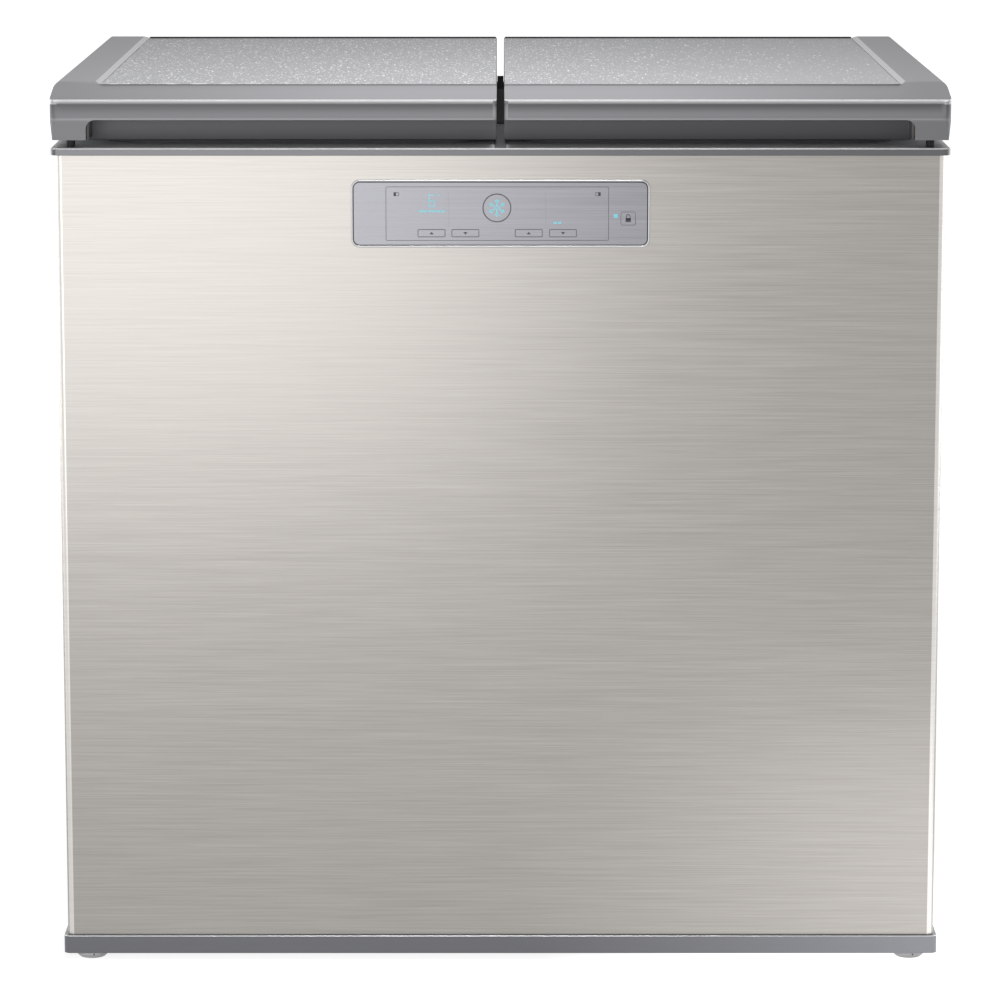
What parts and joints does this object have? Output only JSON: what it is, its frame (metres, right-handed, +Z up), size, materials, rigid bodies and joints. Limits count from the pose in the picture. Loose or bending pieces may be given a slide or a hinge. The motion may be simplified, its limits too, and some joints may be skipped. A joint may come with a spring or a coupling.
{
  "type": "kimchi refrigerator",
  "caption": "Lid-type kimchi refrigerator: side-by-side hinged lids with grip recesses over deep wells, brushed body, control panel, base trim, screw feet and rear casters.",
  "frame": {"origin": "on the floor, under the middle of the overall box", "axes": "+Z up, the control panel's front faces -Y, +X to the right as seen from the front"},
  "size_m": [0.926, 0.736, 0.925],
  "materials": {
    "brushed_steel": "satin",
    "painted_steel": "satin",
    "zinc_steel": "satin",
    "grey_plastic": "satin",
    "dark_plastic": "matte",
    "frame_plastic": "satin",
    "trim_plastic": "satin",
    "pale_plastic": "satin",
    "deco_panel": "gloss",
    "overlay": "satin",
    "bezel": "satin",
    "liner": "satin",
    "tank": "satin",
    "foam": "matte",
    "rubber": "matte",
    "gasket": "matte",
    "copper": "satin",
    "compressor": "satin",
    "condenser": "satin",
    "tub": "satin",
    "cap": "satin"
  },
  "bodies": {
    "cabinet": {"front_panel": "brushed_steel", "back_panel": "zinc_steel", "machine_cover": "zinc_steel", "cord_gland": "rubber", "top_frame": "frame_plastic", "back_rail": "frame_plastic", "base_trim": "trim_plastic", "foam_body": "foam", "panel_bezel": "bezel", "panel_overlay": "overlay", "control_box": "dark_plastic", "base_pan": "zinc_steel", "compressor": "compressor", "fan_shroud": "dark_plastic", "fan_motor": "dark_plastic", "condenser": "condenser", "side_panel_left": "painted_steel", "tank_left": "tank", "evaporator_left": "copper", "caster_bracket_left": "zinc_steel", "hinge_base_left_1": "zinc_steel", "hinge_base_left_2": "zinc_steel", "side_panel_right": "painted_steel", "tank_right": "tank", "evaporator_right": "copper", "caster_bracket_right": "zinc_steel", "hinge_base_right_1": "zinc_steel", "hinge_base_right_2": "zinc_steel", "container_lower_front_tub": "tub", "container_lower_front_cap": "cap", "container_lower_back_tub": "tub", "container_lower_back_cap": "cap"},
    "lid_left": {"lid_cover_left": "grey_plastic", "lid_deco_panel_left": "deco_panel", "lid_grip_left": "dark_plastic", "lid_foam_left": "foam", "lid_liner_left": "liner", "lid_gasket_left": "gasket", "lid_bumper_left": "rubber", "hinge_leaf_left_1": "zinc_steel", "hinge_leaf_left_2": "zinc_steel"},
    "lid_right": {"lid_cover_right": "grey_plastic", "lid_deco_panel_right": "deco_panel", "lid_grip_right": "dark_plastic", "lid_foam_right": "foam", "lid_liner_right": "liner", "lid_gasket_right": "gasket", "lid_bumper_right": "rubber", "hinge_leaf_right_1": "zinc_steel", "hinge_leaf_right_2": "zinc_steel"},
    "foot_left": {"foot_left": "pale_plastic"},
    "foot_right": {"foot_right": "pale_plastic"},
    "caster_left": {"caster_wheel_left": "dark_plastic"},
    "caster_right": {"caster_wheel_right": "dark_plastic"},
    "fan": {"fan_blade": "pale_plastic"},
    "container_upper_front": {"container_upper_front_tub": "tub", "container_upper_front_cap": "cap"},
    "container_upper_back": {"container_upper_back_tub": "tub", "container_upper_back_cap": "cap"}
  },
  "joints": [
    {"name": "lid_left_hinge", "type": "hinge", "parent": "cabinet", "child": "lid_left", "pos_m": [-0.2335, 0.35, 0.88], "axis": [-1, 0, 0], "range_deg": [0, 85]},
    {"name": "foot_left_screw", "type": "slide", "parent": "cabinet", "child": "foot_left", "axis": [0, 0, -1], "range_m": [0, 0.015]},
    {"name": "caster_left_axle", "type": "hinge", "parent": "cabinet", "child": "caster_left", "pos_m": [-0.383, 0.308, 0.016], "axis": [1, 0, 0], "continuous": true},
    {"name": "lid_right_hinge", "type": "hinge", "parent": "cabinet", "child": "lid_right", "pos_m": [0.2335, 0.35, 0.88], "axis": [-1, 0, 0], "range_deg": [0, 85]},
    {"name": "foot_right_screw", "type": "slide", "parent": "cabinet", "child": "foot_right", "axis": [0, 0, -1], "range_m": [0, 0.015]},
    {"name": "caster_right_axle", "type": "hinge", "parent": "cabinet", "child": "caster_right", "pos_m": [0.383, 0.308, 0.016], "axis": [1, 0, 0], "continuous": true},
    {"name": "fan_axle", "type": "hinge", "parent": "cabinet", "child": "fan", "pos_m": [-0.0027, 0.21, 0.1333], "axis": [1, 0, 0], "continuous": true},
    {"name": "container_front_lift", "type": "slide", "parent": "cabinet", "child": "container_upper_front", "axis": [0, 0, 1], "range_m": [0, 0.025]},
    {"name": "container_back_lift", "type": "slide", "parent": "cabinet", "child": "container_upper_back", "axis": [0, 0, 1], "range_m": [0, 0.025]}
  ]
}
